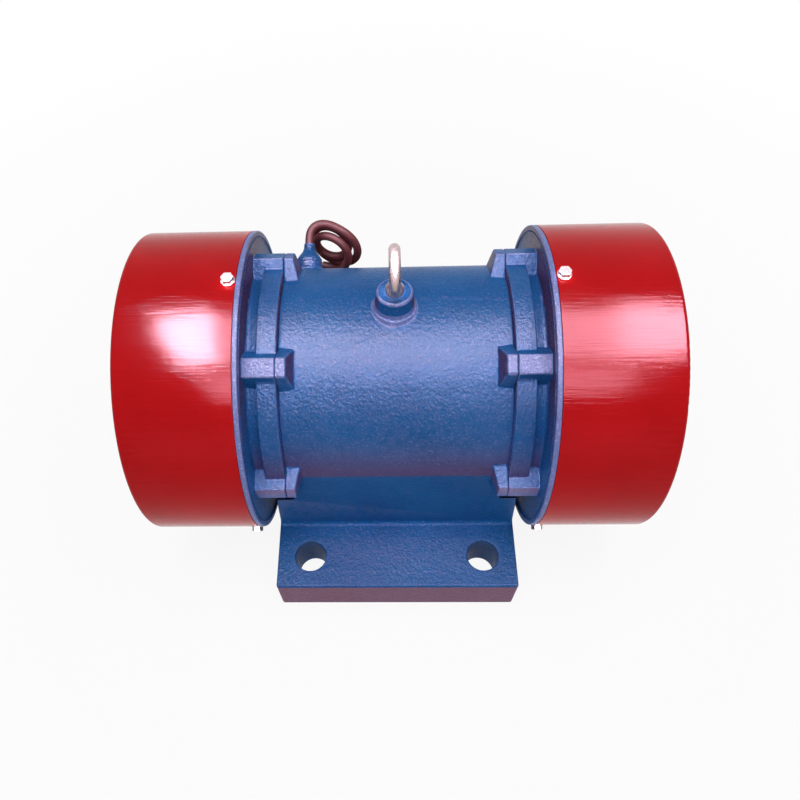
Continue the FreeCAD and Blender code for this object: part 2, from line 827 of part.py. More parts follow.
def make_bearing_caps(side):
    """Inner and outer grease caps, which clamp the bearing's outer ring between them."""
    fit = size.bearing_outer_radius - size.running_gap
    room = size.bearing_race_radius + 1
    shaft_hole = size.shaft_shoulder_radius + 0.6
    inner = new_body("inner_bearing_cap_" + side)
    turn_section(inner, [
        (size.inner_cap_start, shaft_hole),
        (size.inner_cap_start, size.cap_radius),
        (size.hub_start, size.cap_radius),
        (size.hub_start, fit),
        (size.bearing_start, fit),
        (size.bearing_start, room),
        (size.inner_cap_start + 4, room),
        (size.inner_cap_start + 4, shaft_hole),
    ])
    radius = size.cap_bolt_radius + size.fit_gap
    low = size.inner_cap_start
    place = cap_bolt_place()
    kind = "SubtractiveCylinder"
    tapped = rod(inner, kind, "tapped_hole", radius, low - 1, size.hub_start + 1, place)
    repeat_round(inner, tapped, 4)
    outer = new_body("outer_bearing_cap_" + side)
    sleeve_hole = size.bearing_inner_race + 0.6
    turn_section(outer, [
        (size.bearing_end, room),
        (size.bearing_end, fit),
        (size.hub_end, fit),
        (size.hub_end, size.cap_radius),
        (size.cap_flange_end, size.cap_radius),
        (size.cap_flange_end, sleeve_hole),
        (size.cap_flange_end - 3, sleeve_hole),
        (size.cap_flange_end - 3, room),
    ])
    radius = size.cap_bolt_radius + size.bolt_gap
    start = size.hub_end - 1
    hole = rod(outer, kind, "bolt_hole", radius, start, size.cap_flange_end + 1, place)
    repeat_round(outer, hole, 4)
    bolts = new_body("bearing_cap_bolts_" + side)
    at = (size.cap_flange_end, place[0], place[1])
    head = hexagon(bolts, "head", size.cap_bolt_across, size.cap_bolt_head, at, ALONG_X)
    repeat_round(bolts, head, 4)
    stem = rod(bolts, "AdditiveCylinder", "shank", size.cap_bolt_radius, low + 2,
               size.cap_flange_end + 0.2, place)
    repeat_round(bolts, stem, 4)
    for body in (inner, outer, bolts):
        seat(body, side)


def make_shaft():
    """Stepped shaft with a keyway and a ring groove at each end."""
    body = new_body("shaft")
    steps = [
        (size.shaft_core_half, size.shaft_core_radius),
        (size.bearing_start, size.shaft_shoulder_radius),
        (size.bearing_end, size.shaft_bearing_radius),
        (size.ring_groove_place, size.shaft_weight_radius),
        (size.ring_groove_place + size.ring_thickness + 0.2, size.ring_groove_radius),
        (size.shaft_end - size.shaft_chamfer, size.shaft_weight_radius),
    ]
    right = []
    start = as_size(0)
    for end, radius in steps:
        right.append((start, radius))
        right.append((end, radius))
        start = end
    right.append((size.shaft_end, size.shaft_weight_radius - size.shaft_chamfer))
    right.append((size.shaft_end, 0))
    left = [(-along, radius) for along, radius in reversed(right[1:])]
    turn_section(body, left + right[1:])
    for name, low in (
        ("right_keyway", size.weight_start),
        ("left_keyway", -(size.weight_start + size.weight_thickness)),
    ):
        cut = {
            "Length": size.weight_thickness,
            "Width": size.key_width + size.fit_gap * 2,
            "Height": size.key_bottom - size.key_top,
        }
        corner = (low, -(size.key_width / 2 + size.fit_gap), -size.key_bottom)
        primitive(body, "SubtractiveBox", name, cut, corner)
    seat(body)


def make_rotor():
    """Laminated rotor core and its cast aluminium cage with end rings and blades."""
    half = size.core_half_length
    place = (0, size.rotor_bar_circle)
    core = new_body("rotor_core")
    bore = size.shaft_core_radius + size.fit_gap
    turn_section(core, box_points(-half, half, bore, size.rotor_radius))
    radius = size.rotor_bar_radius + size.fit_gap
    slot = rod(core, "SubtractiveCylinder", "slot", radius, -half - 1, half + 1, place)
    repeat_round(core, slot, size.rotor_bar_count)
    seat(core)
    cage = new_body("rotor_cage")
    ring_end = half + size.rotor_ring_width
    inner = size.rotor_ring_inner
    outer = size.rotor_ring_outer
    turn_section(cage, box_points(half, ring_end, inner, outer), "right_ring")
    bar = rod(cage, "AdditiveCylinder", "bar", size.rotor_bar_radius, -half - 1, half + 1, place)
    repeat_round(cage, bar, size.rotor_bar_count)
    turn_section(cage, box_points(-ring_end, -half, inner, outer), "left_ring")
    blade = {"Length": size.rotor_blade_length, "Width": 3, "Height": outer - inner - 3}
    starts = {
        "right_blade": ring_end - 0.5,
        "left_blade": -(ring_end + size.rotor_blade_length - 0.5),
    }
    for name, start in starts.items():
        corner = (start, -1.5, inner + 1.5)
        repeat_round(cage, primitive(cage, "AdditiveBox", name, blade, corner), 8)
    seat(cage)


def make_stator():
    """Slotted stator core and the winding that fills its slots."""
    half = size.core_half_length
    core = new_body("stator_core")
    outer = size.bore_radius - size.fit_gap
    turn_section(core, box_points(-half, half, stator_bore, outer))
    deep = size.slot_end - size.slot_start
    slot = {"Length": half * 2 + 2, "Width": size.slot_width, "Height": deep}
    corner = (-half - 1, -size.slot_width / 2, size.slot_start)
    cut = primitive(core, "SubtractiveBox", "slot", slot, corner)
    repeat_round(core, cut, size.slot_count)
    seat(core)
    winding = new_body("stator_winding")
    low = size.winding_start
    high = size.winding_end
    inner = size.winding_inner
    top = size.winding_outer
    cut_off = size.winding_corner
    head = [
        (low + cut_off / 2, inner),
        (high - cut_off, inner),
        (high, inner + cut_off),
        (high, top - cut_off),
        (high - cut_off, top),
        (low + cut_off, top),
        (low, top - cut_off),
        (low, inner + cut_off / 2),
    ]
    turn_section(winding, head, "right_end_winding")
    bar = {
        "Length": (low + 1) * 2,
        "Width": size.slot_width - 0.4,
        "Height": deep - 0.4,
    }
    corner = (-low - 1, 0.2 - size.slot_width / 2, size.slot_start + 0.2)
    filled = primitive(winding, "AdditiveBox", "slot_bar", bar, corner)
    repeat_round(winding, filled, size.slot_count)
    mirrored = [(-along, radius) for along, radius in reversed(head)]
    turn_section(winding, mirrored, "left_end_winding")
    seat(winding)


def make_weight(label, side, start, keyed):
    """Half disc weight with a split hub; the keyed one also has a key slot."""
    body = new_body(label)
    end = start + size.weight_thickness
    rod(body, "AdditiveCylinder", "disc", size.weight_radius, start, end)
    width = size.weight_radius * 2 + 2
    cut = {"Length": size.weight_thickness + 2, "Width": width, "Height": width / 2}
    primitive(body, "SubtractiveBox", "upper_half", cut, (start - 1, -width / 2, 0))
    rod(body, "AdditiveCylinder", "hub", size.weight_hub_radius, start, end)
    ears = {
        "Length": size.weight_thickness,
        "Width": size.weight_ear_half * 2,
        "Height": size.weight_ear_top,
    }
    primitive(body, "AdditiveBox", "clamp_ears", ears, (start, -size.weight_ear_half, 0))
    bore = size.shaft_weight_radius + size.running_gap
    rod(body, "SubtractiveCylinder", "bore", bore, start - 1, end + 1)
    slit = {
        "Length": size.weight_thickness + 2,
        "Width": size.clamp_slit,
        "Height": size.weight_ear_top,
    }
    primitive(body, "SubtractiveBox", "slit", slit, (start - 1, -size.clamp_slit / 2, 5))
    hole = {
        "Radius": size.clamp_bolt_radius + size.fit_gap,
        "Height": size.weight_ear_half * 2 + 2,
    }
    middle = start + size.weight_thickness / 2
    place = (middle, -size.weight_ear_half - 1, size.clamp_bolt_height)
    primitive(body, "SubtractiveCylinder", "clamp_hole", hole, place, ALONG_Y)
    if keyed:
        slot = {
            "Length": size.weight_thickness + 2,
            "Width": size.key_width + size.fit_gap * 2,
            "Height": size.key_bottom,
        }
        corner = (start - 1, -(size.key_width / 2 + size.fit_gap), -size.key_bottom)
        primitive(body, "SubtractiveBox", "key_slot", slot, corner)
    seat(body, side)


def make_clamp_bolt(label, side, start):
    """Hexagon bolt that closes the weight's split hub on the shaft."""
    body = new_body(label)
    middle = start + size.weight_thickness / 2
    ear = size.weight_ear_half
    place = (middle, ear, size.clamp_bolt_height)
    hexagon(body, "head", size.clamp_bolt_across, size.clamp_bolt_head, place, FLAT_TO_X)
    shank = {"Radius": size.clamp_bolt_radius, "Height": ear * 2 + 0.2}
    start_place = (middle, -ear, size.clamp_bolt_height)
    primitive(body, "AdditiveCylinder", "shank", shank, start_place, ALONG_Y)
    seat(body, side)


def make_shaft_fittings(side):
    """Sleeve beside the bearing, key of the fixed weight and retaining ring."""
    sleeve = new_body("spacer_sleeve_" + side)
    bore = size.shaft_weight_radius + size.fit_gap
    ring = box_points(size.bearing_end, size.weight_start, bore, size.bearing_inner_race)
    turn_section(sleeve, ring)
    key = new_body("weight_key_" + side)
    bar = {
        "Length": size.weight_thickness,
        "Width": size.key_width,
        "Height": size.key_bottom - size.key_top,
    }
    corner = (size.weight_start, -size.key_width / 2, -size.key_bottom)
    primitive(key, "AdditiveBox", "key", bar, corner)
    retaining = new_body("retaining_ring_" + side)
    low = size.ring_groove_place + 0.1
    high = low + size.ring_thickness
    inner = size.ring_groove_radius + size.running_gap
    turn_section(retaining, box_points(low, high, inner, size.ring_outer_radius))
    gap = {"Length": 4, "Width": 12, "Height": 30}
    primitive(retaining, "SubtractiveBox", "opening", gap, (low - 1, -6, 0))
    for body in (sleeve, key, retaining):
        seat(body, side)


def rounded_path(points, bend_of):
    """A wire of straight runs and tangent arcs, and the radius of each arc."""
    edges = []
    radii = []
    start = points[0]
    for before, here, after in zip(points, points[1:], points[2:]):
        back = (before - here).normalize()
        ahead = (after - here).normalize()
        half_turn = (math.pi - back.getAngle(ahead)) / 2
        shorter = min(before.distanceToPoint(here), after.distanceToPoint(here))
        radius = bend_of(shorter, half_turn)
        trim = radius * math.tan(half_turn)
        inward = (back + ahead).normalize()
        nearest = here + inward * (radius / math.cos(half_turn) - radius)
        edges.append(Part.LineSegment(start, here + back * trim).toShape())
        edges.append(Part.Arc(here + back * trim, nearest, here + ahead * trim).toShape())
        radii.append(radius)
        start = here + ahead * trim
    edges.append(Part.LineSegment(start, points[-1]).toShape())
    return Part.Wire(edges), radii


def tube_along(points, radius, bend_of):
    """A solid round tube along a rounded path."""
    path, radii = rounded_path(points, bend_of)
    across = points[1] - points[0]
    ring = Part.Wire([Part.makeCircle(radius, points[0], across)])
    tube = path.makePipeShell([ring], True, False)
    expected = math.pi * radius ** 2 * path.Length
    if abs(tube.Volume - expected) > 0.01 * expected:
        raise ValueError("a tube's volume is not its section times its length")
    return tube, radii, path.Length


def wide_bend(shorter, half_turn):
    """As wide an arc as two neighbouring runs allow."""
    return 0.45 * shorter / math.tan(half_turn)


def shape_node(label, shape):
    """A node whose shape is worked out here, from sizes in the sheet."""
    item = doc.addObject("Part::Feature", label)
    item.Label = label
    item.Shape = shape
    item.Placement = FreeCAD.Placement()
    nodes.append(item)
    return item


def make_cable():
    """Free cable: from the gland's tip into its coil, and its tail out of the coil."""
    out = GLAND_TURN.multVec(FreeCAD.Vector(0, 0, 1))
    foot = FreeCAD.Vector(size.gland_place.value, 0, size.axis_height.value)
    tip = size.gland_tip.value
    radius = size.cable_radius.value
    lead_out = [foot + out * distance for distance in (tip, tip + size.cable_free_run.value)]
    routes = {
        "power_cable": lead_out + [FreeCAD.Vector(*point) for point in CABLE_ROUTE],
        "cable_tail": [FreeCAD.Vector(*point) for point in TAIL_ROUTE],
    }
    for label, points in routes.items():
        tube, radii, length = tube_along(points, radius, wide_bend)
        shape_node(label, tube)
        shown = ", ".join(f"{bend / (2 * radius):.1f}" for bend in radii)
        print(f"{label}: {length:.1f} mm long, bends of {shown} diameters")
    coil = doc.addObject("Part::Torus", "cable_coil")
    coil.Label = "cable_coil"
    coil.Placement = FreeCAD.Placement(FreeCAD.Vector(*COIL_CENTRE), ALONG_Y)
    bind(coil, "Radius1", size.coil_radius)
    bind(coil, "Radius2", size.coil_section_radius)
    nodes.append(coil)
    end = FreeCAD.Vector(*TAIL_ROUTE[-1])
    ahead = (end - FreeCAD.Vector(*TAIL_ROUTE[-2])).normalize()
    side_way = ahead.cross(FreeCAD.Vector(0, 1, 0)).normalize()
    other_way = ahead.cross(side_way).normalize()
    spread = radius / 2
    wires = []
    for along_side, along_other in ((1, 1), (1, -1), (-1, 1), (-1, -1)):
        offset = side_way * (along_side * spread / math.sqrt(2))
        offset = offset + other_way * (along_other * spread / math.sqrt(2))
        wires.append(Part.makeCylinder(
            size.core_wire_radius.value, size.core_wire_length.value, end + offset, ahead))
    shape_node("cable_cores", Part.makeCompound(wires))


def make_winding_leads():
    """Three insulated leads from the cable's inner end to the end winding."""
    lead = size.cable_lead_radius.value
    x_start = size.gland_place.value
    inner_mouth = size.gland_thread_start.value
    crossing = size.bore_radius.value - 2.8
    x_turn = -(size.winding_end.value + 3.2)
    entry = size.winding_outer.value - 12
    x_end = -size.winding_end.value
    leads = []
    for step in (-1, 0, 1):
        turn = FreeCAD.Rotation(FreeCAD.Vector(1, 0, 0), 90 - GLAND_ELEVATION + step * 2.6)
        flat = [
            (x_start, inner_mouth),
            (x_start, crossing),
            (x_turn, crossing),
            (x_turn, entry),
            (x_end, entry),
        ]
        points = [turn.multVec(FreeCAD.Vector(x, 0, out)) for x, out in flat]
        lift = FreeCAD.Vector(0, 0, size.axis_height.value)
        points = [point + lift for point in points]
        leads.append(tube_along(points, lead, lambda shorter, half: 0.45 * shorter)[0])
    shape_node("winding_leads", Part.makeCompound(leads))


def make_everything():
    make_housing()
    for side in SIDES:
        make_end_shield(side)
        make_cover(side)
        make_cover_seal(side)
        make_cover_screws(side)
        make_cover_washers(side)
        make_shield_bolts(side)
        make_shield_washers(side)
        make_bearing(side)
        make_bearing_caps(side)
        make_shaft_fittings(side)
        make_weight("fixed_weight_" + side, side, size.weight_start, True)
        make_clamp_bolt("fixed_weight_bolt_" + side, side, size.weight_start)
        make_weight("adjustable_weight_" + side, side, adjustable_start, False)
        make_clamp_bolt("adjustable_weight_bolt_" + side, side, adjustable_start)
    make_eyebolt()
    make_gland()
    make_shaft()
    make_rotor()
    make_stator()
    make_winding_leads()
    make_cable()


def check_and_export():
    """Stop on any failed object or bad shape, then write each node's file."""
    doc.recompute()
    failed = [
        item.Label for item in doc.Objects if "Invalid" in item.State or "Error" in item.State
    ]
    if failed:
        raise ValueError("failed objects: " + ", ".join(failed))
    for node in nodes:
        shape = node.Shape
        if shape.isNull() or not shape.isValid() or not shape.Solids:
            raise ValueError("bad shape: " + node.Label)
    for node in nodes:
        node.Shape.exportStep("parts/" + node.Label + ".step")
    print(len(nodes), "nodes written")


make_everything()
check_and_export()
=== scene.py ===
import json
import math

import bpy
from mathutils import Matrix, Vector

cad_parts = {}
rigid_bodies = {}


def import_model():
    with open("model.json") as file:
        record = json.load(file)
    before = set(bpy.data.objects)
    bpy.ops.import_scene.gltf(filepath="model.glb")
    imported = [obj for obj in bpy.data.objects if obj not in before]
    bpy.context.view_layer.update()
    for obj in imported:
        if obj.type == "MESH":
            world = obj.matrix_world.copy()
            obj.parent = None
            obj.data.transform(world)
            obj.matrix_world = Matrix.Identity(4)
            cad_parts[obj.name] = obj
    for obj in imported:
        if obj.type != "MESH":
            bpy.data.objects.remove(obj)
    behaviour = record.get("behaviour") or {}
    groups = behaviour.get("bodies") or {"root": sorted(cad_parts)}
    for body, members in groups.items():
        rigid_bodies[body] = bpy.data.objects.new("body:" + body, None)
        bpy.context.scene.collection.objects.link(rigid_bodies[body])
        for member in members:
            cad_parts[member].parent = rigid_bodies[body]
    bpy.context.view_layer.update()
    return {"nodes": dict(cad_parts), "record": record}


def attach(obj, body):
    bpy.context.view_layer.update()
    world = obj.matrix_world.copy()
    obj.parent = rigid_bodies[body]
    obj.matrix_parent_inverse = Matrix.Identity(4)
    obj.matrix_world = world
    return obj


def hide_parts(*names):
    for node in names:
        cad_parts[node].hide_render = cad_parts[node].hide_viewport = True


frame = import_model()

MM = 0.001

# The free cable, in millimetres: out of the gland, round its coil, and its tail
CABLE_DIAMETER = 7.0
CABLE_LEAD_OUT = [
    (-69.5, 97.86, 186.5),
    (-69.5, 104.8, 190.5),
    (-66.2, 110.0, 193.6),
    (-60.2, 112.6, 194.8),
    (-51.6, 112.6, 193.4),
]
COIL_CENTRE = Vector((-52.6, 112.5, 169.5))
COIL_TURNED = 20.0
COIL_RADIUS = 18.4
COIL_STRAND_OFFSET = 5.4
COIL_START = 58.0
COIL_END = -34.0 - 720.0
COIL_TWIST_PER_TURN = 120.0
COIL_STEPS = 38
CABLE_TAIL = [
    (-42.4, 108.0, 148.6),
    (-46.8, 113.2, 142.0),
    (-54.5, 117.2, 139.3),
    (-63.0, 119.0, 139.5),
]

SIDES = ("left", "right")
AXIS_HEIGHT = 0.130

# Where highlights, reflections and shade are painted on the castings, in metres. REACH is measured out
# from the shaft's line.
FOOT_TOP = 0.0405
FOOT_FRONT = 0.146
BELLY_BOTTOM = 0.1295
BARREL_HALF_LENGTH = 0.1055
DISC_BACK = 0.108
SHIELD_START = 0.1
SHIELD_RIM_REACH = 0.1192
LUG_START = 0.068
LUG_REACH = 0.0975
LUG_BOTTOM = 0.12
BOSS_RADIUS = 0.021
BOSS_BOTTOM = 0.2
BOSS_FOOT_REACH = 0.0902
BOSS_SKIRT_REACH = 0.0965
BOSS_CROWN_REACH = 0.1045

# The view, in metres, degrees and millimetres of lens
CAMERA_PLACE = (-0.0045, -0.3383, 0.6170)
CAMERA_TURN = (31.07, 2.2, -0.62)
CAMERA_LENS = 32.25
CAMERA_SHIFT = (0.0474, 0.0321)

# The light
WHITE = (1.0, 1.0, 1.0, 1.0)
WORLD_STRENGTH = 0.31
GLEAM_HEIGHT = 1.15
LOW_GLEAM_HEIGHT = 0.98
GLEAM_COLOUR = (0.97, 0.82, 1.0)
SHADOW_REACH = 0.35
PLAIN_FLOOR_REACH = 0.8


# Selecting and finishing pieces

def only(piece):
    """Select this piece alone and make it the active one."""
    bpy.ops.object.select_all(action="DESELECT")
    piece.select_set(True)
    bpy.context.view_layer.objects.active = piece


def body_of(node):
    """The CAD body that a node rides on."""
    for body, nodes in frame["record"]["behaviour"]["bodies"].items():
        if node in nodes:
            return body
    return "frame"


def smooth(piece, degrees=35):
    """Smooth shading, kept sharp at corners."""
    only(piece)
    bpy.ops.object.shade_smooth_by_angle(angle=math.radians(degrees))


def merged_copy(node):
    """A copy of a CAD node whose triangles are joined into whole faces."""
    only(frame["nodes"][node])
    bpy.ops.object.duplicate()
    piece = bpy.context.active_object
    piece.name = node + "_finished"
    bpy.ops.object.parent_clear(type="CLEAR_KEEP_TRANSFORM")
    bpy.ops.mesh.customdata_custom_splitnormals_clear()
    bpy.ops.object.mode_set(mode="EDIT")
    bpy.ops.mesh.select_all(action="SELECT")
    bpy.ops.mesh.remove_doubles(threshold=0.01 * MM)
    bpy.ops.mesh.dissolve_limited(angle_limit=math.radians(0.4))
    bpy.ops.object.mode_set(mode="OBJECT")
    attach(piece, body_of(node))
    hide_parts(node)
    return piece


def round_edges(piece, width, segments=2, degrees=32):
    """Round every corner sharper than the angle."""
    only(piece)
    bevel = piece.modifiers.new("rounded_edges", "BEVEL")
    bevel.width = width * MM
    bevel.segments = segments
    bevel.limit_method = "ANGLE"
    bevel.angle_limit = math.radians(degrees)
    bevel.use_clamp_overlap = False
    bevel.miter_outer = "MITER_ARC"
    bpy.ops.object.modifier_apply(modifier=bevel.name)
    smooth(piece, 40)
    weighted = piece.modifiers.new("flat_faces_stay_flat", "WEIGHTED_NORMAL")
    weighted.keep_sharp = True
    weighted.weight = 100
    bpy.ops.object.modifier_apply(modifier=weighted.name)


def dress(piece, material):
    """Give a piece its one material."""
    piece.data.materials.clear()
    piece.data.materials.append(material)


# Materials

def new_group(name, inputs, outputs):
    """An empty node group with named sockets."""
    group = bpy.data.node_groups.new(name, "ShaderNodeTree")
    for label, kind, value in inputs:
        socket = group.interface.new_socket(label, in_out="INPUT", socket_type=kind)
        socket.default_value = value
    for label, kind in outputs:
        group.interface.new_socket(label, in_out="OUTPUT", socket_type=kind)
    return group, group.nodes.new("NodeGroupInput"), group.nodes.new("NodeGroupOutput")


def maths(tree, operation, first, second):
    """A maths node on two sockets or numbers; returns its result."""
    node = tree.nodes.new("ShaderNodeMath")
    node.operation = operation
    for socket, value in zip(node.inputs, (first, second)):
        if isinstance(value, (int, float)):
            socket.default_value = value
        else:
            tree.links.new(value, socket)
    return node.outputs[0]


def spread(tree, value, low, high, to_low=0.0, to_high=1.0):
    """Stretch a value's range from low..high to another range."""
    node = tree.nodes.new("ShaderNodeMapRange")
    node.inputs["From Min"].default_value = low
    node.inputs["From Max"].default_value = high
    node.inputs["To Min"].default_value = to_low
    node.inputs["To Max"].default_value = to_high
    tree.links.new(value, node.inputs["Value"])
    return node.outputs["Result"]


def noise(tree, vector, scale, detail=2.0, roughness=0.5):
    """A noise texture's value over a vector."""
    node = tree.nodes.new("ShaderNodeTexNoise")
    node.inputs["Detail"].default_value = detail
    node.inputs["Roughness"].default_value = roughness
    tree.links.new(vector, node.inputs["Vector"])
    if isinstance(scale, (int, float)):
        node.inputs["Scale"].default_value = scale
    else:
        tree.links.new(scale, node.inputs["Scale"])
    return node.outputs["Fac"]


def hammered_paint_group():
    """Thick sprayed enamel over a rough casting: small dimples, specks and slow colour drift."""
    group, given, result = new_group(
        "hammered_paint",
        [("Grain Scale", "NodeSocketFloat", 420.0), ("Dimple Scale", "NodeSocketFloat", 130.0)],
        [("Height", "NodeSocketFloat"), ("Specks", "NodeSocketFloat"), ("Drift", "NodeSocketFloat")],
    )
    place = group.nodes.new("ShaderNodeTexCoord").outputs["Object"]
    grain = noise(group, place, given.outputs["Grain Scale"], 3.0, 0.6)
    dimples = group.nodes.new("ShaderNodeTexVoronoi")
    dimples.feature = "SMOOTH_F1"
    dimples.inputs["Smoothness"].default_value = 0.6
    group.links.new(place, dimples.inputs["Vector"])
    group.links.new(given.outputs["Dimple Scale"], dimples.inputs["Scale"])
    coarse = maths(group, "MULTIPLY", dimples.outputs["Distance"], 0.6)
    height = maths(group, "ADD", grain, coarse)
    group.links.new(height, result.inputs["Height"])
    fine = noise(group, place, given.outputs["Grain Scale"], 1.0, 0.5)
    group.links.new(spread(group, fine, 0.56, 0.72), result.inputs["Specks"])
    drift = noise(group, place, 14.0, 3.0, 0.6)
    group.links.new(spread(group, drift, 0.35, 0.65), result.inputs["Drift"])
    return group


def painted_edge_highlight_group():
    """A lilac highlight painted along outward edges, where rounded corners catch the light, broken up by
    noise.
    """
    group, given, result = new_group(
        "painted_edge_highlight",
        [("Strength", "NodeSocketFloat", 1.0)],
        [("Mask", "NodeSocketFloat")],
    )
    shape = group.nodes.new("ShaderNodeNewGeometry")
    edges = spread(group, shape.outputs["Pointiness"], 0.52, 0.62)
    place = group.nodes.new("ShaderNodeTexCoord").outputs["Object"]
    broken = spread(group, noise(group, place, 160.0, 3.0, 0.6), 0.3, 0.6)
    lit_edges = maths(group, "MULTIPLY", edges, broken)
    group.links.new(maths(group, "MULTIPLY", lit_edges, given.outputs["Strength"]), result.inputs["Mask"])
    return group


def brushed_group():
    """Fine parallel marks along X, as turning or rolling leaves round a part."""
    group, given, result = new_group(
        "brushed",
        [("Scale", "NodeSocketFloat", 900.0), ("Stretch", "NodeSocketVector", (0.05, 1.0, 1.0))],
        [("Height", "NodeSocketFloat"), ("Streaks", "NodeSocketFloat")],
    )
    place = group.nodes.new("ShaderNodeTexCoord").outputs["Object"]
    stretched = group.nodes.new("ShaderNodeVectorMath")
    stretched.operation = "MULTIPLY"
    group.links.new(place, stretched.inputs[0])
    group.links.new(given.outputs["Stretch"], stretched.inputs[1])
    lines = noise(group, stretched.outputs[0], given.outputs["Scale"], 2.0, 0.6)
    group.links.new(lines, result.inputs["Height"])
    group.links.new(spread(group, lines, 0.35, 0.65), result.inputs["Streaks"])
    return group


def painted_mauve_reflection_group():
    """Where mauve reflection and shade are painted into the blue: low on the foot, round the barrel's
    belly and on upright ends.
    """
    group, given, result = new_group(
        "painted_mauve_reflection",
        [("Foot Top", "NodeSocketFloat", FOOT_TOP), ("Belly", "NodeSocketFloat", BELLY_BOTTOM)],
        [("Foot", "NodeSocketFloat"), ("Barrel", "NodeSocketFloat"), ("Sides", "NodeSocketFloat"),
         ("Gloss", "NodeSocketFloat")],
    )
    coordinates = group.nodes.new("ShaderNodeTexCoord")
    place = group.nodes.new("ShaderNodeSeparateXYZ")
    group.links.new(coordinates.outputs["Object"], place.inputs[0])
    facing = group.nodes.new("ShaderNodeSeparateXYZ")
    group.links.new(coordinates.outputs["Normal"], facing.inputs[0])
    upright = spread(group, facing.outputs["Z"], 0.7, 0.25)
    below_top = maths(group, "LESS_THAN", place.outputs["Z"], given.outputs["Foot Top"])
    forward = maths(group, "ABSOLUTE", place.outputs["Y"], 0.0)
    outside = maths(group, "GREATER_THAN", forward, FOOT_FRONT)
    below_top = maths(group, "MULTIPLY", below_top, outside)
    # Foot: a pinkish reflection painted on the foot's front faces.
    group.links.new(maths(group, "MULTIPLY", upright, below_top), result.inputs["Foot"])
    height = maths(group, "SUBTRACT", place.outputs["Z"], given.outputs["Belly"])
    above = maths(group, "GREATER_THAN", height, 0.0)
    band = maths(group, "MULTIPLY", above, spread(group, height, 0.008, 0.045, 1.0, 0.0))
    outer = maths(group, "ABSOLUTE", place.outputs["X"], 0.0)
    between_covers = maths(group, "LESS_THAN", outer, BARREL_HALF_LENGTH)
    band = maths(group, "MULTIPLY", band, between_covers)
    # Barrel: a mauve reflection painted on the band low round the barrel.
    group.links.new(maths(group, "MULTIPLY", band, upright), result.inputs["Barrel"])
    sideways = maths(group, "ABSOLUTE", facing.outputs["X"], 0.0)
    high = spread(group, place.outputs["Z"], 0.17, 0.22)
    level = spread(group, sideways, 0.8, 0.95)
    level = maths(group, "MULTIPLY", level, maths(group, "LESS_THAN", outer, DISC_BACK))
    # Sides: darker mauve shade and reflection painted high on the upright faces inside the shield discs.
    group.links.new(maths(group, "MULTIPLY", level, high), result.inputs["Sides"])
    gloss = spread(group, place.outputs["Z"], 0.046, 0.1, 0.35, 1.0)
    group.links.new(gloss, result.inputs["Gloss"])
    return group


groups = {
    "hammered_paint": hammered_paint_group(),
    "painted_edge_highlight": painted_edge_highlight_group(),
    "brushed": brushed_group(),
    "painted_mauve_reflection": painted_mauve_reflection_group(),
}


def new_material(name, colour, roughness, metallic=0.0):
    """A material with one Principled shader; returns the material, its tree and the shader."""
    material = bpy.data.materials.new(name)
    material.use_nodes = True
    tree = material.node_tree
    shader = tree.nodes["Principled BSDF"]
    shader.inputs["Base Color"].default_value = (*colour, 1.0)
    shader.inputs["Roughness"].default_value = roughness
    shader.inputs["Metallic"].default_value = metallic
    return material, tree, shader


def use_group(tree, name, **values):
    """Place a shared group with its own values."""
    node = tree.nodes.new("ShaderNodeGroup")
    node.node_tree = groups[name]
    for label, value in values.items():
        node.inputs[label.replace("_", " ")].default_value = value
    return node


def mix_colour(tree, factor, first, second):
    """Blend two colours, given as values or sockets, by a factor socket."""
    node = tree.nodes.new("ShaderNodeMix")
    node.data_type = "RGBA"
    tree.links.new(factor, node.inputs["Factor"])
    for socket, value in ((node.inputs["A"], first), (node.inputs["B"], second)):
        if isinstance(value, tuple):
            socket.default_value = (*value, 1.0)
        else:
            tree.links.new(value, socket)
    return node.outputs["Result"]


def raise_surface(tree, shader, height, depth):
    """Feed a height to the shader's normal, depth in millimetres."""
    bump = tree.nodes.new("ShaderNodeBump")
    bump.inputs["Distance"].default_value = depth * MM
    bump.inputs["Strength"].default_value = 1.0
    tree.links.new(height, bump.inputs["Height"])
    tree.links.new(bump.outputs["Normal"], shader.inputs["Normal"])


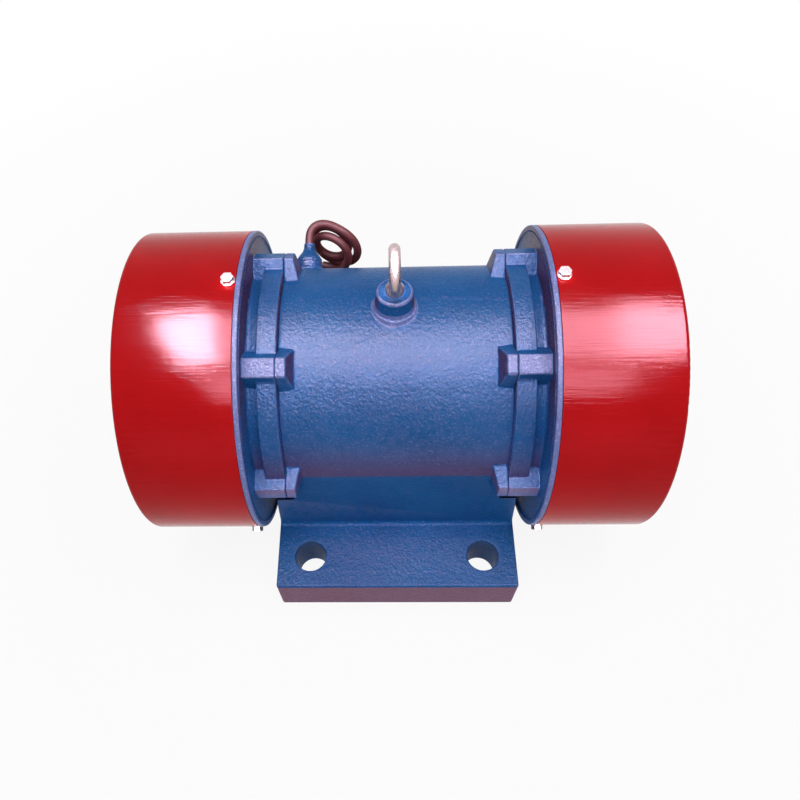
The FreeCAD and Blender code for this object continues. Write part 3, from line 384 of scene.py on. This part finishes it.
def blue_enamel(name="blue_enamel", paleness=0.0):
    """Blue enamel on castings, with hammered grain, painted mauve reflections and shade, painted glints
    and lilac highlights painted along the edges.
    """
    material, tree, shader = new_material(name, (0.012, 0.115, 0.34), 0.4)
    paint = use_group(tree, "hammered_paint", Grain_Scale=640.0, Dimple_Scale=340.0)
    edge_light = use_group(tree, "painted_edge_highlight", Strength=0.7)
    painted_reflections = use_group(tree, "painted_mauve_reflection")
    base = mix_colour(tree, paint.outputs["Drift"], (0.006, 0.088, 0.285), (0.010, 0.118, 0.35))
    # A mauve reflection painted low round the barrel.
    belly = maths(tree, "MULTIPLY", painted_reflections.outputs["Barrel"], 0.6)
    belly_reflection_painted = mix_colour(tree, belly, base, (0.15, 0.05, 0.12))
    # Darker mauve shade and reflection painted high on the shields' upright inner faces.
    sides = maths(tree, "MULTIPLY", painted_reflections.outputs["Sides"], 0.8)
    sides_shade_painted = mix_colour(tree, sides, belly_reflection_painted, (0.09, 0.012, 0.04))
    # A pinkish reflection painted on the foot's front faces.
    foot = maths(tree, "MULTIPLY", painted_reflections.outputs["Foot"], 0.8)
    foot_reflection_painted = mix_colour(tree, foot, sides_shade_painted, (0.25, 0.085, 0.12))
    # Glints painted as pale lilac specks in the colour; the same specks are made glossier below.
    painted_glints = maths(tree, "MULTIPLY", paint.outputs["Specks"], paleness + 0.14)
    # paleness paints a pale lilac highlight over whole faces.
    painted_pale_share = maths(tree, "ADD", painted_glints, paleness)
    painted_pale_colour = mix_colour(tree, painted_pale_share, foot_reflection_painted, (0.5, 0.46, 0.85))
    # A lilac highlight painted along the outward edges.
    lit_edges = mix_colour(tree, edge_light.outputs["Mask"], painted_pale_colour, (0.36, 0.34, 0.66))
    tree.links.new(lit_edges, shader.inputs["Base Color"])
    rough = spread(tree, paint.outputs["Specks"], 0.0, 1.0, 0.3, 0.16)
    tree.links.new(rough, shader.inputs["Roughness"])
    raise_surface(tree, shader, paint.outputs["Height"], 0.5)
    gloss = maths(tree, "MULTIPLY", painted_reflections.outputs["Gloss"], 0.06)
    tree.links.new(gloss, shader.inputs["Specular IOR Level"])
    return material


def red_enamel():
    """Glossy red enamel on rolled sheet, with faint marks along the drum."""
    material, tree, shader = new_material("red_enamel", (0.48, 0.004, 0.006), 0.12)
    rolled = use_group(tree, "brushed", Scale=750.0, Stretch=(0.05, 1.0, 1.0))
    paint = use_group(tree, "hammered_paint", Grain_Scale=700.0, Dimple_Scale=240.0)
    base = mix_colour(tree, paint.outputs["Drift"], (0.46, 0.003, 0.005), (0.52, 0.004, 0.007))
    tree.links.new(base, shader.inputs["Base Color"])
    peel = maths(tree, "MULTIPLY", paint.outputs["Height"], 0.15)
    raise_surface(tree, shader, maths(tree, "ADD", rolled.outputs["Height"], peel), 0.16)
    shader.inputs["Specular IOR Level"].default_value = 0.08
    shader.inputs["Specular Tint"].default_value = (1.0, 0.75, 0.8, 1.0)
    return material


def bright_steel():
    """Zinc-plated and polished steel with fine marks."""
    material, tree, shader = new_material("bright_steel", (0.36, 0.3, 0.285), 0.3, 1.0)
    marks = use_group(tree, "brushed", Scale=1500.0, Stretch=(1.0, 1.0, 0.1))
    rough = spread(tree, marks.outputs["Streaks"], 0.0, 1.0, 0.24, 0.4)
    tree.links.new(rough, shader.inputs["Roughness"])
    raise_surface(tree, shader, marks.outputs["Height"], 0.02)
    return material


def turned_metal(name, colour, roughness, across=0.08):
    """A machined part with turning marks round the shaft; across is how fine they are that way."""
    material, tree, shader = new_material(name, colour, roughness, 1.0)
    marks = use_group(tree, "brushed", Scale=1200.0, Stretch=(1.0, across, across))
    darker = tuple(channel * 0.75 for channel in colour)
    tone = mix_colour(tree, marks.outputs["Streaks"], darker, colour)
    tree.links.new(tone, shader.inputs["Base Color"])
    rough = spread(tree, marks.outputs["Streaks"], 0.0, 1.0, roughness * 0.8, roughness * 1.3)
    tree.links.new(rough, shader.inputs["Roughness"])
    raise_surface(tree, shader, marks.outputs["Height"], 0.03)
    return material


def laminated_steel():
    """Thin stacked sheets along the shaft."""
    material, tree, shader = new_material("laminated_steel", (0.2, 0.2, 0.21), 0.45, 0.8)
    place = tree.nodes.new("ShaderNodeTexCoord").outputs["Object"]
    stack = tree.nodes.new("ShaderNodeTexWave")
    stack.bands_direction = "X"
    stack.inputs["Scale"].default_value = 320.0
    stack.inputs["Distortion"].default_value = 0.4
    tree.links.new(place, stack.inputs["Vector"])
    tone = mix_colour(tree, stack.outputs["Fac"], (0.07, 0.07, 0.075), (0.26, 0.26, 0.27))
    tree.links.new(tone, shader.inputs["Base Color"])
    raise_surface(tree, shader, stack.outputs["Fac"], 0.08)
    return material


def wound_copper():
    """Varnished copper wire lying side by side."""
    material, tree, shader = new_material("wound_copper", (0.5, 0.16, 0.05), 0.35, 0.7)
    place = tree.nodes.new("ShaderNodeTexCoord").outputs["Object"]
    wires = tree.nodes.new("ShaderNodeTexWave")
    wires.wave_type = "RINGS"
    wires.rings_direction = "X"
    wires.inputs["Scale"].default_value = 300.0
    wires.inputs["Distortion"].default_value = 2.0
    wires.inputs["Detail"].default_value = 1.0
    tree.links.new(place, wires.inputs["Vector"])
    tone = mix_colour(tree, wires.outputs["Fac"], (0.16, 0.04, 0.012), (0.62, 0.22, 0.07))
    tree.links.new(tone, shader.inputs["Base Color"])
    raise_surface(tree, shader, wires.outputs["Fac"], 0.3)
    return material


def soft_rubber(name, colour, roughness):
    """Dull moulded rubber with fine grain and pale rub marks."""
    material, tree, shader = new_material(name, colour, roughness)
    grain = use_group(tree, "hammered_paint", Grain_Scale=900.0, Dimple_Scale=300.0)
    paler = tuple(channel * 1.9 + 0.004 for channel in colour)
    tree.links.new(mix_colour(tree, grain.outputs["Drift"], colour, paler), shader.inputs["Base Color"])
    raise_surface(tree, shader, grain.outputs["Height"], 0.05)
    shader.inputs["Specular IOR Level"].default_value = 0.09
    return material


def make_materials():
    """Every finish on the motor, by the record's slot name."""
    return {
        "blue_casting": blue_enamel(),
        # A paler enamel, for the highlight painted on faces that catch the light.
        "highlight_painted_enamel": blue_enamel("highlight_painted_blue_enamel", 0.3),
        "red_cover": red_enamel(),
        "rubber": soft_rubber("brown_rubber", (0.10, 0.015, 0.015), 0.6),
        "zinc_steel": bright_steel(),
        "bearing_steel": turned_metal("bearing_steel", (0.56, 0.57, 0.6), 0.12),
        "cage_brass": turned_metal("cage_brass", (0.72, 0.46, 0.14), 0.25),
        "cap_iron": turned_metal("machined_iron", (0.11, 0.11, 0.115), 0.4, across=0.7),
        "ground_steel": turned_metal("ground_steel", (0.5, 0.5, 0.52), 0.22),
        "core_steel": laminated_steel(),
        "rotor_aluminium": turned_metal("cast_aluminium", (0.7, 0.7, 0.72), 0.4),
        "copper": wound_copper(),
        "weight_iron": turned_metal("weight_iron", (0.14, 0.14, 0.15), 0.5, across=0.7),
    }


materials = make_materials()
slots = {entry["node"]: entry["material_slot"] for entry in frame["record"]["subparts"]}
for name, node in frame["nodes"].items():
    dress(node, materials[slots[name]])


# Pieces

def gets_painted_highlight(centre, normal):
    """Whether this face gets a painted highlight: lug faces turned up or forward, rims and rounded
    edges.
    """
    reach = math.hypot(centre.y, centre.z - AXIS_HEIGHT)
    slope = math.degrees(math.atan2(normal.z, -normal.y))
    beside = abs(centre.x)
    if beside > SHIELD_START:
        return reach > SHIELD_RIM_REACH
    if beside > LUG_START:
        faces_up = abs(normal.x) < 0.3 and -10 < slope < 105
        return LUG_REACH < reach and centre.z > LUG_BOTTOM and faces_up
    on_boss = math.hypot(centre.x, centre.y) < BOSS_RADIUS and centre.z > BOSS_BOTTOM
    if on_boss and reach > BOSS_FOOT_REACH:
        skirt = reach < BOSS_SKIRT_REACH and normal.z < 0.95
        crown = reach > BOSS_CROWN_REACH and 0.3 < normal.z < 0.95
        return skirt or crown
    return False


def paint_highlights_on(piece):
    """Paint a highlight on the faces that catch the light, with the paler enamel."""
    piece.data.materials.append(materials["highlight_painted_enamel"])
    for face in piece.data.polygons:
        if gets_painted_highlight(face.center, face.normal):
            face.material_index = 1


def make_castings():
    """Housing and end shields with their cast corners rounded."""
    housing = merged_copy("housing")
    round_edges(housing, 1.4, 3)
    paint_highlights_on(housing)
    for side in SIDES:
        shield = merged_copy("end_shield_" + side)
        round_edges(shield, 1.0, 3)
        paint_highlights_on(shield)
    round_edges(merged_copy("gland_body"), 0.8, 2)
    smooth(merged_copy("gland_cone"), 50)


def make_covers():
    """Sheet steel drums over the weights."""
    for side in SIDES:
        smooth(merged_copy("cover_" + side), 40)


def make_fasteners():
    """Eyebolt, cover screws and their washers, with their corners eased."""
    smooth(merged_copy("lifting_eyebolt"), 50)
    for side in SIDES:
        round_edges(merged_copy("cover_screws_" + side), 0.35, 2)
        round_edges(merged_copy("cover_washers_" + side), 0.25, 2)


def coil_points():
    """The cable's turns, each lying beside the last as it twists round the bundle."""
    lean = math.radians(COIL_TURNED)
    across = Vector((math.cos(lean), -math.sin(lean), 0))
    behind = Vector((math.sin(lean), math.cos(lean), 0))
    up = Vector((0, 0, 1))
    points = []
    for step in range(COIL_STEPS + 1):
        share = step / COIL_STEPS
        turn = math.radians(COIL_START + (COIL_END - COIL_START) * share)
        twist = math.radians(COIL_TWIST_PER_TURN) * abs(COIL_END - COIL_START) * share / 360
        outward = COIL_RADIUS + COIL_STRAND_OFFSET * math.cos(twist)
        back = COIL_STRAND_OFFSET * math.sin(twist)
        ray = across * math.cos(turn) + up * math.sin(turn)
        points.append(COIL_CENTRE + ray * outward + behind * back)
    return points


def make_cable():
    """One length of rubber cable from the gland to its stripped cores."""
    points = [Vector(point) for point in CABLE_LEAD_OUT] + coil_points()
    points += [Vector(point) for point in CABLE_TAIL]
    bpy.ops.curve.primitive_nurbs_path_add()
    cable = bpy.context.active_object
    cable.name = "power_cord"
    curve = cable.data
    curve.splines.clear()
    line = curve.splines.new("NURBS")
    line.points.add(len(points) - 1)
    for control, point in zip(line.points, points):
        control.co = (*(point * MM), 1.0)
    line.order_u = 3
    line.use_endpoint_u = True
    curve.dimensions = "3D"
    curve.resolution_u = 6
    curve.bevel_depth = CABLE_DIAMETER / 2 * MM
    curve.bevel_resolution = 5
    curve.use_fill_caps = True
    dress(cable, materials["rubber"])
    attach(cable, "frame")
    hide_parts("power_cable", "cable_coil", "cable_tail")


# Camera, light and floor

def make_camera():
    """A camera above the front, looking down at the housing."""
    bpy.ops.object.camera_add(location=CAMERA_PLACE)
    camera = bpy.context.active_object
    camera.rotation_mode = "ZYX"
    camera.rotation_euler = [math.radians(turn) for turn in CAMERA_TURN]
    camera.data.sensor_width = 36.0
    camera.data.lens = CAMERA_LENS
    camera.data.shift_x, camera.data.shift_y = CAMERA_SHIFT
    camera.data.clip_start = 0.01
    camera.data.clip_end = 20.0
    bpy.context.scene.camera = camera


def add_lamp(name, place, aim, size, power, colour, shines_on_surface=True):
    """A soft rectangular lamp that points at a place."""
    bpy.ops.object.light_add(type="AREA", location=place)
    lamp = bpy.context.active_object
    lamp.name = name
    lamp.data.shape = "RECTANGLE"
    lamp.data.size, lamp.data.size_y = size
    lamp.data.energy = power
    lamp.data.color = colour
    direction = Vector(aim) - Vector(place)
    lamp.rotation_euler = direction.to_track_quat("-Z", "Y").to_euler()
    lamp.visible_diffuse = shines_on_surface


def add_gleam(name, low, high, height, radiance):
    """A lamp that only shows as a reflection, from one corner to the other at a height."""
    width, depth = high[0] - low[0], high[1] - low[1]
    middle = ((low[0] + high[0]) / 2, (low[1] + high[1]) / 2)
    power = radiance * math.pi * width * depth
    add_lamp(name, (*middle, height), (*middle, 0.0), (width, depth), power, GLEAM_COLOUR,
             shines_on_surface=False)


def background_rays(tree):
    """1 on rays that should see the white background, and 0 on the light that falls on the object."""
    rays = tree.nodes.new("ShaderNodeLightPath")
    seen = maths(tree, "MAXIMUM", rays.outputs["Is Camera Ray"], rays.outputs["Is Transmission Ray"])
    return maths(tree, "MAXIMUM", seen, rays.outputs["Is Glossy Ray"])


def make_light():
    """A soft box overhead, gleams for the highlights, a warm low front fill, and an even pale world."""
    add_lamp("overhead_softbox", (0.05, -0.1, 1.3), (0, 0, 0.1), (1.3, 0.8), 10, (1.0, 0.95, 0.97))
    add_gleam("middle_gleam", (-0.38, -0.42), (0.47, 0.18), GLEAM_HEIGHT, 58)
    add_gleam("left_gleam", (-0.60, -0.42), (-0.38, 0.26), GLEAM_HEIGHT, 220)
    add_gleam("right_gleam", (0.47, -0.42), (0.70, 0.26), GLEAM_HEIGHT, 118)
    add_gleam("lower_gleam", (-0.46, -0.90), (0.52, -0.45), LOW_GLEAM_HEIGHT, 38)
    add_lamp("front_fill", (0.0, -1.3, 0.35), (0, 0, 0.1), (1.6, 0.6), 2.0, (1.0, 0.75, 0.78))
    world = bpy.data.worlds.new("studio")
    bpy.context.scene.world = world
    world.use_nodes = True
    tree = world.node_tree
    background = tree.nodes["Background"]
    background.inputs["Color"].default_value = WHITE
    strength = spread(tree, background_rays(tree), 0.0, 1.0, WORLD_STRENGTH, 1.0)
    tree.links.new(strength, background.inputs["Strength"])


def make_floor():
    """A plain pale floor that keeps a light shadow and turns to full white further out."""
    bpy.ops.mesh.primitive_plane_add(size=12.0, location=(0, 0, 0))
    floor = bpy.context.active_object
    floor.name = "studio_floor"
    material, tree, shader = new_material("pale_floor", (0.9, 0.9, 0.9), 0.8)
    shader.inputs["Specular IOR Level"].default_value = 0.0
    glow = tree.nodes.new("ShaderNodeEmission")
    glow.inputs["Color"].default_value = WHITE
    reach = tree.nodes.new("ShaderNodeVectorMath")
    reach.operation = "LENGTH"
    tree.links.new(tree.nodes.new("ShaderNodeTexCoord").outputs["Object"], reach.inputs[0])
    share = spread(tree, reach.outputs["Value"], SHADOW_REACH, PLAIN_FLOOR_REACH, 0.9, 1.0)
    mix = tree.nodes.new("ShaderNodeMixShader")
    tree.links.new(maths(tree, "MULTIPLY", background_rays(tree), share), mix.inputs["Fac"])
    tree.links.new(shader.outputs["BSDF"], mix.inputs[1])
    tree.links.new(glow.outputs["Emission"], mix.inputs[2])
    tree.links.new(mix.outputs["Shader"], tree.nodes["Material Output"].inputs["Surface"])
    dress(floor, material)


make_castings()
make_covers()
make_fasteners()
make_cable()
make_camera()
make_light()
make_floor()
bpy.context.scene.view_settings.view_transform = "Standard"
